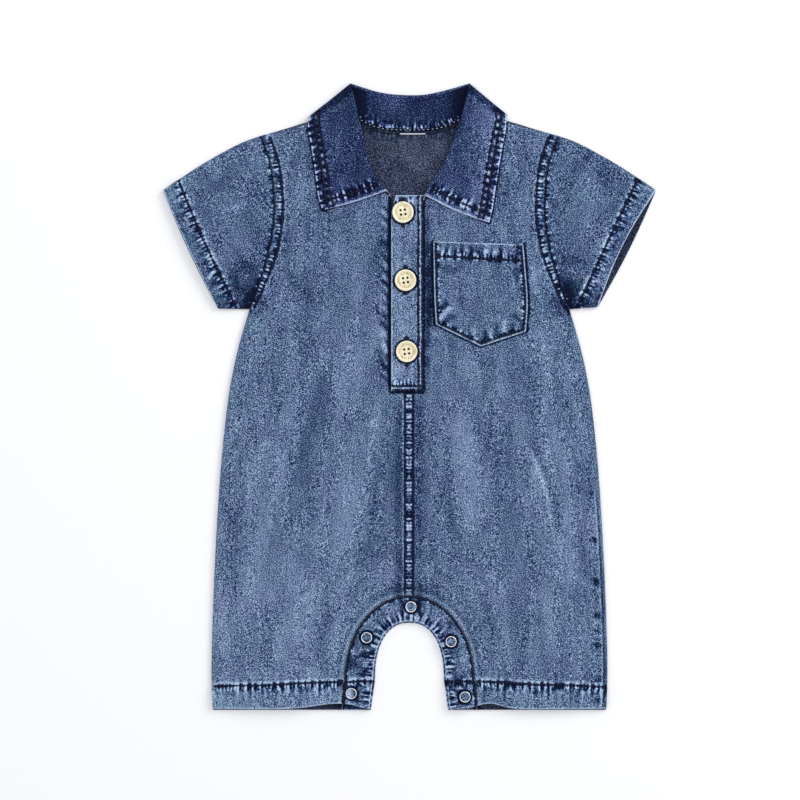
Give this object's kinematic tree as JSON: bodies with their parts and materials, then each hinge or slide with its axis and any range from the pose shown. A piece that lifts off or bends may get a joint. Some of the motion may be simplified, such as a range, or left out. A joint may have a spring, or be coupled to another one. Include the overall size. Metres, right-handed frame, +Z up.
{
  "type": "baby romper",
  "caption": "Short-sleeved denim baby romper laid flat, with a shirt collar, buttoned half placket, chest pocket and snap band round the leg arch.",
  "frame": {"origin": "middle of the laid-out garment's outline, on the surface that it lies on", "axes": "+X to the right seen from above (the wearer's left), +Y up the garment towards the collar, +Z up from the surface, towards the front layer"},
  "size_m": [0.3704, 0.47, 0.0102],
  "materials": {
    "denim": "washed mid-blue denim twill, matte, pale along the seams",
    "denim_collar": "darker blue denim twill, matte, with pale puckers beside the stitching",
    "button_wood": "pale varnished wood with a raised rim",
    "snap_metal": "polished prong ring"
  },
  "bodies": {
    "root": {"back": "denim", "front_left": "denim", "front_right": "denim", "placket_under": "denim", "placket_top": "denim", "pocket": "denim", "snap_band_back": "denim", "snap_band_front": "denim", "sleeve_left": "denim", "sleeve_right": "denim", "collar_back": "denim_collar", "collar_leaf_left": "denim_collar", "collar_leaf_right": "denim_collar", "button_1": "button_wood", "button_2": "button_wood", "button_3": "button_wood", "snap_1_ring": "snap_metal", "snap_1_stud": "snap_metal", "snap_2_ring": "snap_metal", "snap_2_stud": "snap_metal", "snap_3_ring": "snap_metal", "snap_3_stud": "snap_metal", "snap_4_ring": "snap_metal", "snap_4_stud": "snap_metal", "snap_5_ring": "snap_metal", "snap_5_stud": "snap_metal"}
  },
  "joints": []
}
